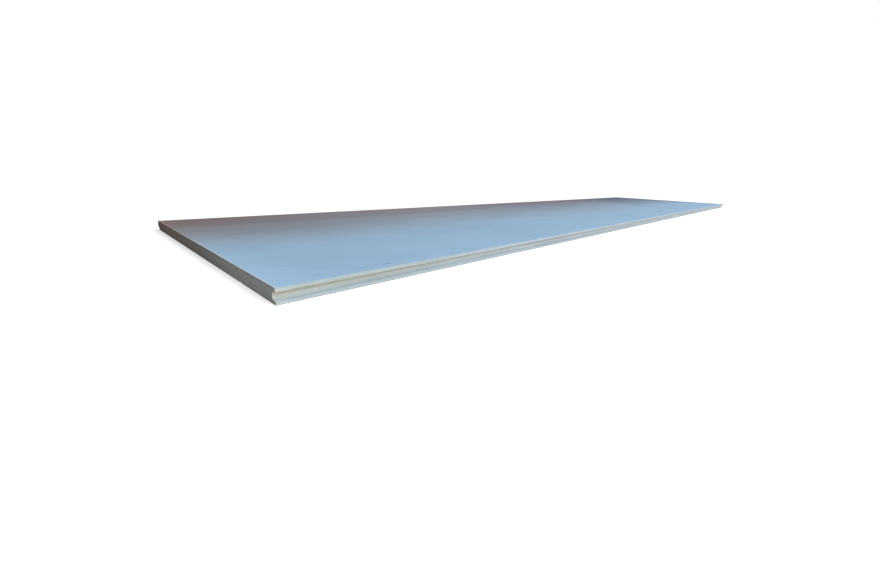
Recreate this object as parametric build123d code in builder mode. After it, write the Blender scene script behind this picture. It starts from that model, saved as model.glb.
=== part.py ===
from build123d import *
import os

# A fibre cement floor board lying flat. Its long edges are tongued and grooved, its ends sawn square.
# +X runs along the board, the groove opens towards -Y, the tongue points along +Y and +Z is up.
# The origin is on the underside, midway along the board and midway between the two edge faces.

# Driving sizes, in millimetres
board_length = 3000.0
cover_width = 600.0  # what one laid board covers, from edge face to edge face without the tongue
board_thickness = 20.0
top_lip = 4.8  # height of the edge face above the groove
groove_mouth = 11.2  # height of the groove where it opens at the edge face
groove_depth = 7.5
flank_slope = 15.0  # degrees that the flanks lean, so that the tongue centres itself in the groove
groove_corner_radius = 0.8  # what the cutter leaves at the back of the groove
arris = 0.5  # eased edge round the walking face and the underside

# Clearances between this groove and the tongue of the next board
flank_gap = 0.25  # above and below the tongue
tip_gap = 1.0

# Worked out from the sizes above
joint_height = board_thickness - top_lip - groove_mouth / 2
tongue_root = groove_mouth - 2 * flank_gap
tongue_length = groove_depth - tip_gap
tongue_corner_radius = groove_corner_radius + flank_gap


def tapered_outline(root_height, reach, corner_radius, mode):
    """The section of a tongue, or of the groove that takes one, from its root along the sketch's +X."""
    with BuildSketch(mode=Mode.PRIVATE) as outline:
        Trapezoid(root_height, reach, 90 - flank_slope, align=(Align.CENTER, Align.MIN), rotation=-90)
        fillet(outline.vertices().group_by(Axis.X)[-1], radius=corner_radius)
    add(outline.sketch, mode=mode)


# The board is one pressed sheet with milled edges, and nothing is fixed to it.
with BuildPart() as floor_board:
    with BuildSketch(Plane.YZ) as section:
        Rectangle(cover_width, board_thickness, align=(Align.CENTER, Align.MIN))
        with Locations((-cover_width / 2, joint_height)):
            tapered_outline(groove_mouth, groove_depth, groove_corner_radius, Mode.SUBTRACT)
        with Locations((cover_width / 2, joint_height)):
            tapered_outline(tongue_root, tongue_length, tongue_corner_radius, Mode.ADD)
    extrude(amount=board_length / 2, both=True)
    underside, *between, walking_face = floor_board.faces().sort_by(Axis.Z)
    chamfer(underside.edges() + walking_face.edges(), length=arris)

floor_board.part.label = "floor_board"

os.makedirs("parts", exist_ok=True)
export_step(floor_board.part, "parts/floor_board.step")
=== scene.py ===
import math
import random

import bmesh
import bpy
import numpy as np
from mathutils import Euler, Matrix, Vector


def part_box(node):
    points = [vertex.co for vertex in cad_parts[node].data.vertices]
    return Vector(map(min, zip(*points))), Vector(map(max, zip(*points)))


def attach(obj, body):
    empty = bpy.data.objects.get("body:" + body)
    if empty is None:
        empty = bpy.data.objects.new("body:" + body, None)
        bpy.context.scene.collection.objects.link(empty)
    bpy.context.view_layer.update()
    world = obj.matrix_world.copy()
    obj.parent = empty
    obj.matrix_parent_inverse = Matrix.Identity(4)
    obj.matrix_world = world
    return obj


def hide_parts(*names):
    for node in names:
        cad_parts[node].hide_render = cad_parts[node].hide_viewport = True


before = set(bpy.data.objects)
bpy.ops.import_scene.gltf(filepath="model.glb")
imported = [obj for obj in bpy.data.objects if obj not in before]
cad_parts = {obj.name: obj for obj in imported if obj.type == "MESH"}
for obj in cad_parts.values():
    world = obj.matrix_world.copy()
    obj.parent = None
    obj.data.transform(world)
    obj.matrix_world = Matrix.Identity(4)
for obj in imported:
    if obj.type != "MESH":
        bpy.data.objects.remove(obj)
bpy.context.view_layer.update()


# The two milled edges.
# The board is one sheet of fibre cement, pressed and cured in steam. A cutter then ran once along
# each long edge and left a groove in one and a tongue on the other, and all face edges eased.

mm = 0.001
board_low, board_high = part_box("floor_board")
half_length = board_high.x
edge_face = -board_low.y
thickness = board_high.z
tongue_length = board_high.y - edge_face

top_lip = 4.8 * mm
groove_mouth = 11.2 * mm
groove_depth = 7.5 * mm
flank_slope = math.radians(15)
flank_gap = 0.25 * mm  # above and below the tongue of the next board
joint_height = thickness - top_lip - groove_mouth / 2
eased_radius = 0.5 * mm
lip_radius = 0.25 * mm  # the cutter leaves the groove's lips almost sharp
groove_corner_radius = 0.8 * mm
tongue_corner_radius = groove_corner_radius + flank_gap
arc_steps = 3
between_arcs = (0.15, 0.38, 0.62, 0.85)  # where points divide the flat stretches


def eased_corner(before, corner, after, radius):
    """Points of the arc that rounds one corner of an outline."""
    before, corner, after = Vector(before), Vector(corner), Vector(after)
    back = (before - corner).normalized()
    on = (after - corner).normalized()
    half_angle = back.angle(on) / 2
    start = corner + back * radius / math.tan(half_angle)
    end = corner + on * radius / math.tan(half_angle)
    centre = corner + (back + on).normalized() * radius / math.sin(half_angle)
    arc = []
    for step in range(arc_steps + 1):
        ray = start.lerp(end, step / arc_steps) - centre
        arc.append(centre + ray.normalized() * radius)
    return arc


def milled_outline(side, root_height, reach, corner_radius):
    """A long edge's (y, z) points from the walking face down to the underside.

    Side is 1 for the tongue and -1 for the groove. Both outlines have as many points, so that
    the end faces run across from one to the other."""
    face = side * edge_face
    tip = face + reach
    rise = reach * math.tan(flank_slope)
    root_top = joint_height + root_height / 2
    root_foot = joint_height - root_height / 2
    corners = [
        ((0.0, thickness), 0.0),
        ((face, thickness), eased_radius),
        ((face, root_top), lip_radius),
        ((tip, root_top - rise), corner_radius),
        ((tip, root_foot + rise), corner_radius),
        ((face, root_foot), lip_radius),
        ((face, 0.0), eased_radius),
        ((0.0, 0.0), 0.0),
    ]
    outline = []
    for n in range(1, len(corners) - 1):
        arc = eased_corner(corners[n - 1][0], corners[n][0], corners[n + 1][0], corners[n][1])
        if outline:
            last = outline[-1]
            outline += [last.lerp(arc[0], part) for part in between_arcs]
        outline += arc
    return outline


groove_side = milled_outline(-1, groove_mouth, groove_depth, groove_corner_radius)
tongue_side = milled_outline(1, groove_mouth - 2 * flank_gap, tongue_length, tongue_corner_radius)


# Nicks along the edges.
# Fibre cement is brittle, so lifting and carrying break small shells out of its edges. This board
# is nearly new: most are half a millimetre deep, and the largest are on the edges of its underside.

random.seed(21)
clear_corner = 9 * mm  # the nicks keep this far from the board's corners


class Nick:
    """A shell broken out of an edge: the dent that an egg shape leaves there."""

    def __init__(self, centre, along, outward, depth):
        self.centre = np.array(centre)
        self.along = np.array(along)
        self.outward = np.array(outward) / np.linalg.norm(outward)
        self.depth = depth
        self.reach = depth * random.uniform(1.4, 3.2)  # half its length
        self.girth = depth * random.uniform(1.6, 2.6)  # half its width


def nicks_on(edge_length, count, edge_point, along, outward, largest):
    """Nicks at random places of an edge, with their distances along it."""
    found = []
    for n in range(count):
        place = random.uniform(clear_corner, edge_length - clear_corner)
        depth = largest * random.uniform(0.45, 1.0) ** 2  # more are shallow than deep
        found.append((place, Nick(edge_point(place), along, outward, depth)))
    return found


length = 2 * half_length
width = 2 * edge_face

# For each arris along the board: its side, its height, whether it looks up or down, and the
# greatest depth and the number of its nicks. Two of them are the lips of the groove.
long_arrises = [
    (-1, thickness, 1, 0.9 * mm, 14),
    (-1, thickness - top_lip, -1, 0.7 * mm, 10),
    (-1, thickness - top_lip - groove_mouth, 1, 1.0 * mm, 12),
    (-1, 0.0, -1, 1.4 * mm, 12),
    (1, thickness, 1, 1.0 * mm, 14),
    (1, 0.0, -1, 1.6 * mm, 12),
]
lengthwise_nicks = []
for side, height, tilt, largest, count in long_arrises:
    def edge_point(place):
        return (place - half_length, side * edge_face, height)
    lengthwise_nicks += nicks_on(length, count, edge_point, (1, 0, 0), (0, side, tilt), largest)

# The same for each arris across an end. All four have as many nicks.
end_arrises = [
    (-1, thickness, 1, 0.8 * mm),
    (-1, 0.0, -1, 1.5 * mm),
    (1, thickness, 1, 1.1 * mm),
    (1, 0.0, -1, 1.5 * mm),
]
end_count = 9
crosswise_nicks = []
for end, height, tilt, largest in end_arrises:
    def edge_point(place):
        return (end * half_length, place - edge_face, height)
    crosswise_nicks += nicks_on(width, end_count, edge_point, (0, 1, 0), (end, 0, tilt), largest)


# The sheet.
# Its two faces are flat from the press. The mesh has its points close together along the edges and
# at the nicks, and inside that border each face is two flat polygons that meet halfway along.

border_rows = [0.0, 0.5 * mm, 1.1 * mm, 2.0 * mm, 3.4 * mm, 5.5 * mm]
border = len(border_rows) - 1
gap_along = 25 * mm
gap_across = 6 * mm
least_gap = 0.15 * mm
end_easing = 3 * mm  # the rounding of the ends' arrises fades out over this length
outline_reach = 20 * mm  # on the ends the milled outline fades out over this width


def spread_points(edge_length, usual_gap, nicks):
    """Distances along an edge at which the mesh has points."""
    steps = round(edge_length / usual_gap)
    wanted = [n * edge_length / steps for n in range(1, steps)]
    for place, nick in nicks:
        wanted += [place + nick.reach * part for part in (-1, -0.6, 0, 0.6, 1)]
    spread = list(border_rows)
    for place in sorted(wanted):
        if place - spread[-1] > least_gap and edge_length - border_rows[-1] - place > least_gap:
            spread.append(place)
    return spread + [edge_length - row for row in reversed(border_rows)]


along = spread_points(length, gap_along, lengthwise_nicks)
across = spread_points(width, gap_across, crosswise_nicks)
last_along, last_across, last_down = len(along) - 1, len(across) - 1, len(groove_side) - 1
points = []
point_numbers = {}


def point(i, j, k):
    """The number of the point at these steps along, across and down the sheet's surface."""
    if (i, j, k) not in point_numbers:
        left, right = groove_side[k], tongue_side[k]
        from_end = min(along[i], length - along[i])
        on_arris = k <= arc_steps or k >= last_down - arc_steps
        easing = (left.x + edge_face) * on_arris * max(0.0, 1 - from_end / end_easing)
        x = (half_length - from_end - easing) * (1 if along[i] > half_length else -1)
        from_side = min(across[j], width - across[j])
        shift = max(0.0, 1 - from_side / outline_reach)
        if across[j] < edge_face:
            y = from_side - edge_face + (left.x + edge_face) * shift
        else:
            y = edge_face - from_side + (right.x - edge_face) * shift
        z = left.y + (right.y - left.y) * across[j] / width
        point_numbers[i, j, k] = len(points)
        points.append((x, y, z))
    return point_numbers[i, j, k]


sealed, felted, milled, sawn = range(4)  # the finishes, numbered as their materials are added
faces = []
finish_of_face = []


def add_face(steps, finish):
    faces.append([point(*step) for step in steps])
    finish_of_face.append(finish)


halfway = min(range(len(along)), key=lambda i: abs(along[i] - half_length))
for k, finish in ((0, sealed), (last_down, felted)):
    for i in range(last_along):
        for j in range(last_across):
            at_end = i < border or i >= last_along - border
            at_side = j < border or j >= last_across - border
            if at_end or at_side:
                add_face([(i, j, k), (i + 1, j, k), (i + 1, j + 1, k), (i, j + 1, k)], finish)
    low_side, high_side = border, last_across - border
    for first, last in ((border, halfway), (halfway, last_along - border)):
        ring = [(i, low_side, k) for i in range(first, last + 1)]
        if last != halfway:
            ring += [(last, j, k) for j in range(low_side + 1, high_side)]
        ring += [(i, high_side, k) for i in range(last, first - 1, -1)]
        if first != halfway:
            ring += [(first, j, k) for j in range(high_side - 1, low_side, -1)]
        add_face(ring, finish)
for k in range(last_down):
    for j in (0, last_across):
        for i in range(last_along):
            add_face([(i, j, k), (i + 1, j, k), (i + 1, j, k + 1), (i, j, k + 1)], milled)
    for i in (0, last_along):
        for j in range(last_across):
            add_face([(i, j, k), (i, j + 1, k), (i, j + 1, k + 1), (i, j, k + 1)], sawn)

surface = np.array(points)
broken = np.zeros(len(points))
full_break = 0.25 * mm  # from this depth a nick shows only the paler cement inside


def break_out(nick):
    """Pushes the points in a nick's egg shape straight in to its wall, and marks them as broken."""
    middle = nick.centre + nick.outward * (nick.girth - nick.depth)
    offset = surface - middle
    lengthways = offset @ nick.along
    outwards = offset @ nick.outward
    sideways = np.linalg.norm(
        offset - np.outer(lengthways, nick.along) - np.outer(outwards, nick.outward), axis=1)
    room = nick.girth ** 2 * (1 - (lengthways / nick.reach) ** 2) - sideways ** 2
    wall = -np.sqrt(np.maximum(room, 0))
    push = np.where((room > 0) & (outwards > wall) & (outwards < nick.girth), outwards - wall, 0)
    surface[:] -= np.outer(push, nick.outward)
    broken[:] = np.maximum(broken, np.minimum(1, push / full_break))


for place, nick in lengthwise_nicks + crosswise_nicks:
    break_out(nick)

# The saw strayed in waves as it cut the ends, each leaning a little with the blade.
saw_wander = 0.12 * mm  # at most
wave_lengths = (23 * mm, 41 * mm, 97 * mm, 210 * mm)
blade_lean = 0.4
on_end = np.abs(np.abs(surface[:, 0]) - half_length) < 0.001 * mm
wander = np.zeros(len(surface))
for wave_length in wave_lengths:
    turn = random.uniform(0, math.tau)
    along_cut = surface[:, 1] + blade_lean * surface[:, 2]
    wander += np.sin(math.tau * along_cut / wave_length + turn) / len(wave_lengths)
surface[:, 0] -= on_end * np.sign(surface[:, 0]) * saw_wander * (wander + 1) / 2

mesh = bpy.data.meshes.new("pressed_board")
mesh.from_pydata(surface.tolist(), [], faces)
mesh.polygons.foreach_set("material_index", finish_of_face)
mesh.attributes.new("broken", "FLOAT", "POINT").data.foreach_set("value", broken)
outward = bmesh.new()
outward.from_mesh(mesh)
bmesh.ops.recalc_face_normals(outward, faces=outward.faces)
outward.to_mesh(mesh)
outward.free()
mesh.shade_smooth()
mesh.set_sharp_from_angle(angle=math.radians(35))

# The layout for baking, in pixels, gives the walking face two rows and each edge a strip higher
# than true.
map_side = 1024
map_gap = 4
row_length = map_side - 2 * map_gap
face_row, underside_row, edge_row, end_row = 406, 72, 38, 36
underside_start = 3 * map_gap + 2 * face_row
edge_start = underside_start + underside_row + map_gap
end_start = edge_start + 2 * (edge_row + map_gap)
step_of_point = list(point_numbers)


def place_on_map(number, finish, on_second_row):
    """Where a point lies on the map, for a face of one finish in the first or the second row."""
    i, j, k = step_of_point[number]
    x, y, z = points[number]
    second = int(on_second_row)
    if finish == sealed:
        run = 2 * along[i] / length - second
        return run * row_length, map_gap + second * (face_row + map_gap) + face_row * across[j] / width
    if finish == felted:
        return along[i] / length * row_length, underside_start + underside_row * across[j] / width
    if finish == milled:
        down = k / last_down
        return along[i] / length * row_length, edge_start + (second + down) * edge_row + second * map_gap
    end_length = (row_length - map_gap) / 2
    run = (y + edge_face) / (width + tongue_length) * end_length + second * (end_length + map_gap)
    return run, end_start + end_row * z / thickness


layout = mesh.uv_layers.new(name="OFBake")
for polygon in mesh.polygons:
    steps = [step_of_point[number] for number in polygon.vertices]
    second_row = {
        sealed: max(i for i, j, k in steps) > halfway,
        felted: False,
        milled: steps[0][1] == last_across,
        sawn: steps[0][0] == last_along,
    }[polygon.material_index]
    for corner, number in zip(polygon.loop_indices, polygon.vertices):
        right, up = place_on_map(number, polygon.material_index, second_row)
        layout.data[corner].uv = ((map_gap + right) / map_side, up / map_side)
board = bpy.data.objects.new("pressed_board", mesh)
bpy.context.scene.collection.objects.link(board)
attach(board, "root")
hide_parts("floor_board")


# The walking face's finish.
# Sanded and sealed fibre cement, a dull satin blue-grey over the cement's clouds, short fibres and
# pinholes. It is painted bluer at the grooved edge and warmer and darker towards the tongue, browner
# in one corner: painted light and shade across the width. Its edges are rubbed paler, and it has a few
# scuffs.


def paint(colour):
    """A colour written as sRGB hex, turned to the linear numbers that a shader takes."""
    parts = [int(colour[n:n + 2], 16) / 255 for n in (1, 3, 5)]
    return [c / 12.92 if c <= 0.04045 else ((c + 0.055) / 1.055) ** 2.4 for c in parts] + [1.0]


def add_node(tree, kind, links=None, output=0, bands=None, **settings):
    """Adds a node and returns one of its outputs.

    A link gives an input a plain value or another node's output. Bands are a ramp's colours. A
    Mix of colours takes its share at 0 and its two colours at 6 and 7, and gives its result at 2."""
    node = tree.nodes.new("ShaderNode" + kind)
    for setting, value in settings.items():
        setattr(node, setting, value)
    for socket, value in (links or {}).items():
        if isinstance(value, bpy.types.NodeSocket):
            tree.links.new(value, node.inputs[socket])
        else:
            node.inputs[socket].default_value = value
    if bands:
        stops = node.color_ramp.elements
        stops.remove(stops[1])
        stops[0].position = 0.0
        stops[0].color = paint(bands[0][1])
        for where, colour in bands[1:]:
            stops.new(where).color = paint(colour)
    return node.outputs[output]


def start_finish(name, roughness, specular):
    """A material for the board. Returns its nodes, its shader and the place on the board."""
    material = bpy.data.materials.new(name)
    material.use_nodes = True
    mesh.materials.append(material)
    tree = material.node_tree
    shader = tree.nodes["Principled BSDF"]
    shader.inputs["Roughness"].default_value = roughness
    shader.inputs["IOR"].default_value = 1.5
    shader.inputs["Specular IOR Level"].default_value = specular
    return tree, shader, add_node(tree, "TexCoord", output="Object")


noise_patch = 0.5  # how wide the noise's patches are at a scale of 1
noise_low, noise_high = 0.3, 0.7  # nearly all of its values lie between these


def mottle(tree, place, grain, stretch, low, high, detail=2.0):
    """Soft patches a grain wide that run from low to high. A stretch of 0.1 makes them 10 long."""
    stretched = add_node(tree, "Mapping", {"Vector": place, "Scale": stretch})
    links = {"Vector": stretched, "Scale": noise_patch / grain, "Detail": detail}
    noise = add_node(tree, "TexNoise", links)
    links = {"Value": noise, "From Min": noise_low, "From Max": noise_high, "To Min": low, "To Max": high}
    return add_node(tree, "MapRange", links)


def specks(tree, place, apart, radius, stretch, turn, tone):
    """Small marks of one tone, 1 being no change, each in its own cell of the given width."""
    links = {"Vector": place, "Scale": stretch, "Rotation": (0, 0, math.radians(turn))}
    turned = add_node(tree, "Mapping", links)
    distance = add_node(tree, "TexVoronoi", {"Vector": turned, "Scale": 1 / apart})
    reach = radius / apart
    links = {"Value": distance, "From Min": reach / 2, "From Max": reach, "To Min": tone, "To Max": 1}
    return add_node(tree, "MapRange", links)


def shaded(tree, colour, shades):
    """A colour made lighter or darker by each shade, 1 being no change."""
    tone = shades[0]
    for shade in shades[1:]:
        tone = add_node(tree, "Math", {0: tone, 1: shade}, operation="MULTIPLY")
    return add_node(tree, "VectorMath", {0: colour, "Scale": tone}, operation="SCALE")


broken_cement = paint("#BFC3BE")


def finish_with(tree, shader, colour, height, depth):
    """Gives the shader its colour, with the paler break of the nicks, and its relief."""
    nicked = add_node(tree, "Attribute", output="Fac", attribute_name="broken")
    links = {0: nicked, 6: colour, 7: broken_cement}
    with_nicks = add_node(tree, "Mix", links, output=2, data_type="RGBA")
    tree.links.new(with_nicks, shader.inputs["Base Color"])
    relief = add_node(tree, "Bump", {"Height": height, "Strength": 1.0, "Distance": depth})
    tree.links.new(relief, shader.inputs["Normal"])


tone_patch = 260 * mm
tone_drift = 45 * mm  # how far the sealer's tones stray across the board
pale_end = 60 * mm  # the face grows paler over its last stretch
cloud = 90 * mm
rub = 50 * mm
sanding_line = 1.4 * mm  # truly a hair wide
cement_grain = 0.9 * mm  # truly about a quarter of that
fibre_radius = 0.9 * mm  # truly far thinner
pinhole_radius = 0.7 * mm
rubbed_cement = paint("#C3CBCD")

tree, shader, place = start_finish("sealed_fibre_cement", roughness=0.8, specular=0.1)
drift = mottle(tree, place, tone_patch, (0.5, 1, 1), -tone_drift, tone_drift)
along_y = add_node(tree, "SeparateXYZ", {0: place}, output="Y")
along_x = add_node(tree, "SeparateXYZ", {0: place}, output="X")
drifted = add_node(tree, "Math", {0: along_y, 1: drift}, operation="ADD")
over_width = add_node(tree, "MapRange", {"Value": drifted, "From Min": -edge_face, "From Max": edge_face})

# The sealer's colours from the grooved edge to the tongued one, with painted shade towards the tongue.
sealer_and_painted_shade = add_node(tree, "ValToRGB", {0: over_width}, bands=[
    (0.0, "#9ABBD8"),
    (0.3, "#9EBCD6"),
    (0.5, "#9BAFC2"),
    (0.67, "#96A3B2"),
    (0.75, "#97A2AF"),
    (0.83, "#92949F"),
    (1.0, "#938E95"),
])
ragged = mottle(tree, place, 6 * mm, (1, 1, 1), -1.2 * mm, 1.2 * mm, detail=4.0)

# The pairs of rubbed edges: the direction across them, their distance from the middle, how wide a
# strip is worn, and the most of the sealer that is gone.
rubbed_edges = [
    (along_x, half_length, 6 * mm, 0.5),
    (along_y, edge_face, 2.4 * mm, 0.3),
]
for across_edge, edge, worn_width, worn in rubbed_edges:
    off_centre = add_node(tree, "Math", {0: across_edge}, operation="ABSOLUTE")
    from_edge = add_node(tree, "Math", {0: edge, 1: off_centre}, operation="SUBTRACT")
    wandering = add_node(tree, "Math", {0: from_edge, 1: ragged}, operation="ADD")
    links = {"Value": wandering, "From Min": 0.4 * mm, "From Max": worn_width, "To Min": worn, "To Max": 0.0}
    rubbed = add_node(tree, "MapRange", links)
    links = {0: rubbed, 6: sealer_and_painted_shade, 7: rubbed_cement}
    sealer_and_painted_shade = add_node(tree, "Mix", links, output=2, data_type="RGBA")

# Patches of painted shade towards the tongue: the place along the board and the share of the width at
# which each starts, those at which it is full, and its tint. Two lie towards each end.
painted_shade_patches = [
    (-0.85, -1.28, 0.35, 0.8, "#E8E2E1"),
    (-1.25, -half_length, 0.45, 1.0, "#FFE6D6"),
    (-0.5, -0.15, 0.45, 0.72, "#F1ECF1"),
    (0.5, 0.95, 0.3, 0.75, "#CCDCEA"),
]
for faint_x, full_x, faint_width, full_width, tint in painted_shade_patches:
    towards_end = add_node(tree, "MapRange", {"Value": along_x, "From Min": faint_x, "From Max": full_x})
    links = {"Value": over_width, "From Min": faint_width, "From Max": full_width}
    towards_tongue = add_node(tree, "MapRange", links)
    amount = add_node(tree, "Math", {0: towards_end, 1: towards_tongue}, operation="MULTIPLY")
    links = {0: amount, 6: sealer_and_painted_shade, 7: paint(tint)}
    sealer_and_painted_shade = add_node(tree, "Mix", links, output=2, data_type="RGBA", blend_type="MULTIPLY")
off_centre = add_node(tree, "Math", {0: along_x}, operation="ABSOLUTE")
from_end = add_node(tree, "Math", {0: half_length, 1: off_centre}, operation="SUBTRACT")
links = {"Value": from_end, "From Min": 0, "From Max": pale_end, "To Min": 1.11, "To Max": 1.0}
pale_ends = add_node(tree, "MapRange", links)
clouds = mottle(tree, place, cloud, (0.6, 1, 1), 0.955, 1.045, detail=5.0)
sanding_lines = mottle(tree, place, sanding_line, (0.015, 1, 1), 0.965, 1.035)
rubs = mottle(tree, place, rub, (0.45, 1, 1), 1.35, 0.73, detail=6.0)
rubs = add_node(tree, "Clamp", {"Value": rubs, "Min": 0.965, "Max": 1.0})
grains = mottle(tree, place, cement_grain, (1, 1, 1), 0.95, 1.05, detail=4.0)
fibres = specks(tree, place, 16 * mm, fibre_radius, (0.25, 1, 1), 24, 1.09)
more_fibres = specks(tree, place, 19 * mm, fibre_radius, (1, 0.25, 1), 50, 0.92)
pinholes = specks(tree, place, 12 * mm, pinhole_radius, (1, 1, 1), 0, 0.8)
shades = [pale_ends, clouds, sanding_lines, rubs, grains, fibres, more_fibres, pinholes]

# The few scuffs that show: where each is, its two half widths, its turn in degrees and its tone.
scuffs = [
    (-1.327, -0.285, 11 * mm, 5 * mm, -50, 0.8),
    (-1.258, -0.291, 9 * mm, 4 * mm, 0, 0.82),
    (-1.190, -0.290, 20 * mm, 4 * mm, 2, 0.86),
    (-1.433, -0.279, 10 * mm, 5 * mm, -16, 0.93),
    (-1.459, -0.238, 10 * mm, 5 * mm, -65, 0.92),
    (-1.418, 0.040, 16 * mm, 8 * mm, -50, 0.92),
    (-1.427, -0.010, 18 * mm, 9 * mm, -60, 0.93),
    (-0.208, -0.218, 20 * mm, 8 * mm, 58, 0.88),
    (-0.282, -0.270, 36 * mm, 8 * mm, -9, 0.9),
]
frayed = mottle(tree, place, 3 * mm, (1, 1, 1), -0.35, 0.35, detail=4.0)
for x, y, half_long, half_wide, turn, tone in scuffs:
    links = {"Vector": place, "Location": (x, y, thickness), "Scale": (half_long, half_wide, 1)}
    links["Rotation"] = (0, 0, math.radians(turn))
    laid = add_node(tree, "Mapping", links, vector_type="TEXTURE")
    reach = add_node(tree, "VectorMath", {0: laid}, output="Value", operation="LENGTH")
    reach = add_node(tree, "Math", {0: reach, 1: frayed}, operation="ADD")
    links = {"Value": reach, "From Min": 0.2, "To Min": tone, "To Max": 1.0}
    shades.append(add_node(tree, "MapRange", links))
colour = shaded(tree, sealer_and_painted_shade, shades)
height = add_node(tree, "Math", {0: sanding_lines, 1: pinholes}, operation="ADD")
finish_with(tree, shader, colour, height, depth=0.25 * mm)
satin = mottle(tree, place, cloud, (0.6, 1, 1), 0.74, 0.84, detail=3.0)
tree.links.new(satin, shader.inputs["Roughness"])


# The underside's finish.
# The same cement as the maker's felt left it: a plain, dull, lighter grey with the felt's weave
# printed in it and clouds where it dried unevenly.

felt_thread = 1.5 * mm
damp_patch = 120 * mm
pit_radius = 0.9 * mm

tree, shader, place = start_finish("felted_fibre_cement", roughness=0.85, specular=0.2)
damp = mottle(tree, place, damp_patch, (0.6, 1, 1), 0.0, 1.0, detail=4.0)
bare_cement = add_node(tree, "ValToRGB", {0: damp}, bands=[(0.0, "#9FA7A9"), (1.0, "#AEB4B5")])
weave = mottle(tree, place, felt_thread, (1, 0.5, 1), 0.94, 1.06, detail=3.0)
pits = specks(tree, place, 10 * mm, pit_radius, (1, 1, 1), 0, 0.82)
height = add_node(tree, "Math", {0: weave, 1: pits}, operation="ADD")
colour = shaded(tree, bare_cement, [weave, pits])
finish_with(tree, shader, colour, height, depth=0.6 * mm)


# The long edges' finish.
# Bare milled cement, pale and chalky. The plies that the sheet was built up from show as faint
# lines with drawn-out pores. The groove holds painted shade: a darker band low in it, and tan under
# its lip near one end, where the whole edge is also paler and creamier.

ply = 1.3 * mm
cutter_streak = 1.2 * mm  # truly a hair wide
crumb = 0.8 * mm  # truly about half that
blotch = 40 * mm
pore_radius = 0.8 * mm
pale_cream = paint("#F2E9DC")
painted_shade_tan = paint("#E0D2BA")

tree, shader, place = start_finish("milled_fibre_cement", roughness=0.8, specular=0.2)
along_x = add_node(tree, "SeparateXYZ", {0: place}, output="X")
along_y = add_node(tree, "SeparateXYZ", {0: place}, output="Y")
along_z = add_node(tree, "SeparateXYZ", {0: place}, output="Z")
uneven = mottle(tree, place, 30 * mm, (0.3, 0, 0), -0.6 * mm, 0.6 * mm, detail=5.0)
height = add_node(tree, "Math", {0: along_z, 1: uneven}, operation="ADD")
over_height = add_node(tree, "MapRange", {"Value": height, "From Min": 0, "From Max": thickness})

# The colours of the grooved edge near one end, from the underside up to the walking face, with
# painted shade in the dark band on the groove's lower flank.
groove_by_end_with_painted_shade = add_node(tree, "ValToRGB", {0: over_height}, bands=[
    (0.0, "#ABB9BC"),
    (0.15, "#B1C0C5"),
    (0.2, "#ADBCC3"),
    (0.245, "#99A9B1"),
    (0.28, "#AFBBC0"),
    (0.36, "#CFDAD6"),
    (0.44, "#DBE0DA"),
    (0.56, "#D7DBD3"),
    (0.7, "#CFCFC0"),
    (0.77, "#BDC1B7"),
    (0.84, "#B3BCB8"),
    (0.925, "#AFBFC4"),
    (1.0, "#A2B5BF"),
])

# Over the last few centimetres of that end the whole edge is paler and creamier. Inside the groove,
# from the middle of its height up and from behind its lip, it is painted tan: painted shade under the lip.
first_end = -half_length
groove_lip = -edge_face
links = {"Value": along_x, "From Min": first_end + 28 * mm, "From Max": first_end + 2 * mm, "To Max": 0.12}
paler_by_end = add_node(tree, "MapRange", links)
links = {0: paler_by_end, 6: groove_by_end_with_painted_shade, 7: pale_cream}
groove_by_end_with_painted_shade = add_node(tree, "Mix", links, output=2, data_type="RGBA")
links = {"Value": along_x, "From Min": first_end + 25 * mm, "From Max": first_end + 10 * mm, "To Max": 0.6}
painted_shade_under_lip = add_node(tree, "MapRange", links)
shade_under_lip_from = [
    (over_height, 0.4, 0.55),
    (along_y, groove_lip + 2 * mm, groove_lip + 6 * mm),
]
for distance, start, full in shade_under_lip_from:
    part = add_node(tree, "MapRange", {"Value": distance, "From Min": start, "From Max": full})
    painted_shade_under_lip = add_node(tree, "Math", {0: painted_shade_under_lip, 1: part}, operation="MULTIPLY")
links = {0: painted_shade_under_lip, 6: groove_by_end_with_painted_shade, 7: painted_shade_tan}
groove_by_end_with_painted_shade = add_node(tree, "Mix", links, output=2, data_type="RGBA")

# Further along the groove is without the cream and tan and has colours of its own, again with painted
# shade in a darker band low in it. The tongued edge is without them all along.
groove_further_with_painted_shade = add_node(tree, "ValToRGB", {0: over_height}, bands=[
    (0.0, "#A9B7BE"),
    (0.15, "#ABB8BF"),
    (0.21, "#A3AFB7"),
    (0.24, "#A0ABB3"),
    (0.28, "#B3BDC2"),
    (0.36, "#CFD9DB"),
    (0.42, "#D4DCDD"),
    (0.56, "#CDD4D6"),
    (0.77, "#BCC4C6"),
    (0.83, "#B5C0C6"),
    (0.925, "#AABAC6"),
    (1.0, "#A0B2BF"),
])
links = {"Value": along_x, "From Min": first_end + 80 * mm, "From Max": first_end + 450 * mm}
past_first_end = add_node(tree, "MapRange", links)
links = {0: past_first_end, 6: groove_by_end_with_painted_shade, 7: groove_further_with_painted_shade}
groove_part = add_node(tree, "Mix", links, output=2, data_type="RGBA")
tongue_part = add_node(tree, "ValToRGB", {0: over_height}, bands=[(0.0, "#B9C4C5"), (1.0, "#BDC7C4")])
is_tongue = add_node(tree, "Math", {0: along_y, 1: 0.0}, operation="GREATER_THAN")
links = {0: is_tongue, 6: groove_part, 7: tongue_part}
chalky = add_node(tree, "Mix", links, output=2, data_type="RGBA")
plies = mottle(tree, place, ply / 2, (0.01, 0.01, 1), 0.93, 1.05, detail=3.0)
cutter_streaks = mottle(tree, place, cutter_streak, (0.02, 1, 1), 0.97, 1.03, detail=3.0)
crumbs = mottle(tree, place, crumb, (1, 1, 1), 0.93, 1.05, detail=4.0)
blotches = mottle(tree, place, blotch, (0.6, 1, 1), 0.96, 1.03, detail=5.0)
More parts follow.
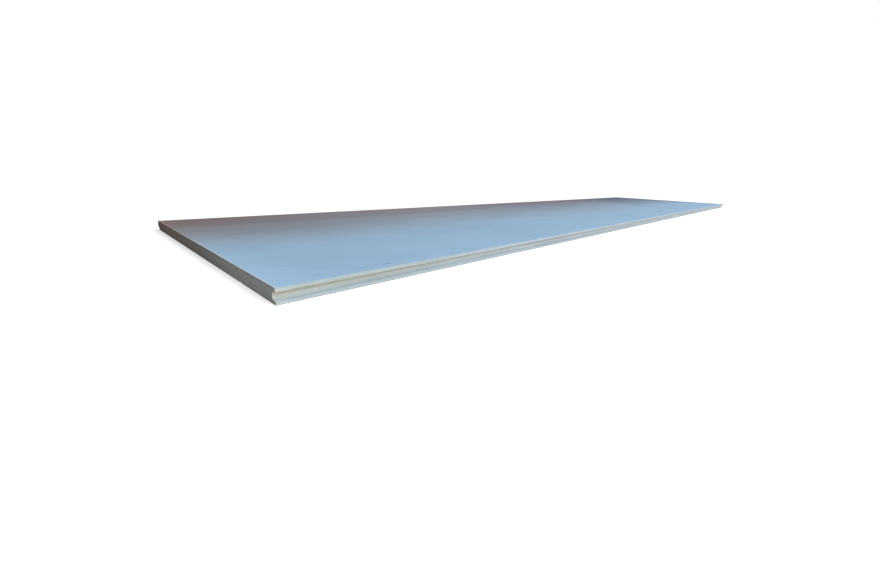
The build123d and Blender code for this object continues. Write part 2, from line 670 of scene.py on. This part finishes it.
pores = specks(tree, place, 7 * mm, pore_radius, (0.4, 1, 1), 0, 0.82)
height = add_node(tree, "Math", {0: plies, 1: pores}, operation="ADD")
height = add_node(tree, "Math", {0: height, 1: crumbs}, operation="ADD")
colour = shaded(tree, chalky, [plies, cutter_streaks, crumbs, blotches, pores])
finish_with(tree, shader, colour, height, depth=0.6 * mm)


# The ends' finish.
# Cut with a stone saw. The cut is rough, with the plies, slanting saw marks and pores, and darker
# and browner than the milled edges: partly its own dust, and painted shade that deepens towards the
# tongue. A painted shade line darkens the top few millimetres under the arris.

saw_mark = 3.5 * mm  # truly nearer 1.5 mm
one_wave = 0.314  # how wide a wave of the texture is at a scale of 1
cut_grit = 0.9 * mm  # truly about a third of that
smear = 30 * mm
shade_full_to, shade_gone_at = 2.5 * mm, 5 * mm  # how far down the painted shade under the arris reaches

tree, shader, place = start_finish("sawn_fibre_cement", roughness=0.9, specular=0.2)
along_y = add_node(tree, "SeparateXYZ", {0: place}, output="Y")
along_z = add_node(tree, "SeparateXYZ", {0: place}, output="Z")
over_width = add_node(tree, "MapRange", {"Value": along_y, "From Min": -edge_face, "From Max": edge_face})

# The cut's colours from the groove to the tongue, darker and browner towards the tongue: painted shade.
cut_with_painted_shade = add_node(tree, "ValToRGB", {0: over_width}, bands=[
    (0.0, "#919597"),
    (0.2, "#929492"),
    (0.36, "#7F7E7B"),
    (0.52, "#756F6A"),
    (0.8, "#6A5E57"),
    (1.0, "#655852"),
])
plies = mottle(tree, place, ply / 2, (0.01, 0.03, 1), 0.9, 1.08, detail=3.0)
slanted = add_node(tree, "Mapping", {"Vector": place, "Rotation": (math.radians(24), 0, 0)})
links = {"Vector": slanted, "Scale": one_wave / saw_mark, "Distortion": 4.0, "Detail Scale": 3.0}
saw_marks = add_node(tree, "TexWave", links, output="Fac", bands_direction="Y")
saw_marks = add_node(tree, "MapRange", {"Value": saw_marks, "To Min": 0.96, "To Max": 1.03})
grit = mottle(tree, place, cut_grit, (1, 1, 1), 0.9, 1.08, detail=4.0)
smears = mottle(tree, place, smear, (1, 1, 0.5), 0.94, 1.05, detail=5.0)
pores = specks(tree, place, 6 * mm, pore_radius, (1, 0.5, 1), 0, 0.75)
# The top few millimetres are painted darker: painted shade under the arris.
from_top = add_node(tree, "Math", {0: thickness, 1: along_z}, operation="SUBTRACT")
links = {"Value": from_top, "From Min": shade_full_to, "From Max": shade_gone_at, "To Min": 0.9, "To Max": 1.0}
painted_shade_under_arris = add_node(tree, "MapRange", links)
height = add_node(tree, "Math", {0: saw_marks, 1: grit}, operation="ADD")
height = add_node(tree, "Math", {0: height, 1: pores}, operation="ADD")
colour = shaded(tree, cut_with_painted_shade, [painted_shade_under_arris, plies, saw_marks, grit, smears, pores])
finish_with(tree, shader, colour, height, depth=0.8 * mm)


# The studio.
# A plain white floor that runs into a white backdrop, light from all round, one long soft lamp
# before the grooved edge, and a high soft sun on the same side, towards the far end. The camera is
# near the floor, off the near end's corner.

world_light = 0.3
floor_light = 0.48


def seen_rays(tree):
    """1 for what the camera, a gloss or a glass sees, and 0 for what only lights the board."""
    camera_ray = add_node(tree, "LightPath", output="Is Camera Ray")
    glossy_ray = add_node(tree, "LightPath", output="Is Glossy Ray")
    glass_ray = add_node(tree, "LightPath", output="Is Transmission Ray")
    seen = add_node(tree, "Math", {0: camera_ray, 1: glossy_ray}, operation="ADD")
    return add_node(tree, "Math", {0: seen, 1: glass_ray}, operation="ADD", use_clamp=True)


backdrop = bpy.data.worlds.new("backdrop")
bpy.context.scene.world = backdrop
backdrop.use_nodes = True
tree = backdrop.node_tree
tree.nodes["Background"].inputs["Color"].default_value = paint("#FFFFFF")
strength = add_node(tree, "MapRange", {"Value": seen_rays(tree), "To Min": world_light, "To Max": 1.0})
tree.links.new(strength, tree.nodes["Background"].inputs["Strength"])

floor_reach = 60.0
floor_corners = [(floor_reach * x, floor_reach * y, 0) for x, y in ((-1, -1), (1, -1), (1, 1), (-1, 1))]
floor_mesh = bpy.data.meshes.new("floor")
floor_mesh.from_pydata(floor_corners, [], [(0, 1, 2, 3)])
floor = bpy.data.objects.new("floor", floor_mesh)
bpy.context.scene.collection.objects.link(floor)
matt_white = bpy.data.materials.new("matt_white")
matt_white.use_nodes = True
floor_mesh.materials.append(matt_white)
tree = matt_white.node_tree
shader = tree.nodes["Principled BSDF"]
shader.inputs["Base Color"].default_value = paint("#F0F0F0")
shader.inputs["Roughness"].default_value = 1.0
shader.inputs["Specular IOR Level"].default_value = 0.0
shader.inputs["Emission Color"].default_value = paint("#FFFFFF")
glow = add_node(tree, "MapRange", {"Value": seen_rays(tree), "To Min": 0, "To Max": floor_light})
tree.links.new(glow, shader.inputs["Emission Strength"])

long_lamp = bpy.data.lights.new("long_lamp", "AREA")
long_lamp.shape = "RECTANGLE"
long_lamp.size = 4.9
long_lamp.size_y = 0.35
long_lamp.energy = 11.4
high_lamp = bpy.data.lights.new("high_lamp", "SUN")
high_lamp.angle = math.radians(35)
high_lamp.energy = 1.23
for lamp, stand, target in (
    (long_lamp, Vector((0.4, -0.8, 0.45)), Vector((0.4, -0.3, 0))),
    (high_lamp, Vector((1.64, -1.97, 3.06)), Vector((0, 0, 0))),
):
    lamp_object = bpy.data.objects.new(lamp.name, lamp)
    lamp_object.location = stand
    lamp_object.rotation_euler = (target - stand).to_track_quat("-Z", "Y").to_euler()
    lamp_object.visible_camera = False
    bpy.context.scene.collection.objects.link(lamp_object)

# The camera's lens, shift, place and turn were fitted to the board's outline in the photograph.
camera = bpy.data.cameras.new("camera")
camera.lens = 13.876
camera.shift_x = 0.0739
camera.shift_y = 0.0490
camera.clip_start = 0.01
camera_object = bpy.data.objects.new("camera", camera)
camera_object.location = (-1.6414, -0.6276, 0.1326)
camera_object.rotation_euler = Euler([math.radians(a) for a in (64.694, -1.692, -40.002)], "XYZ")
bpy.context.scene.collection.objects.link(camera_object)
bpy.context.scene.camera = camera_object
bpy.context.scene.view_settings.view_transform = "Standard"
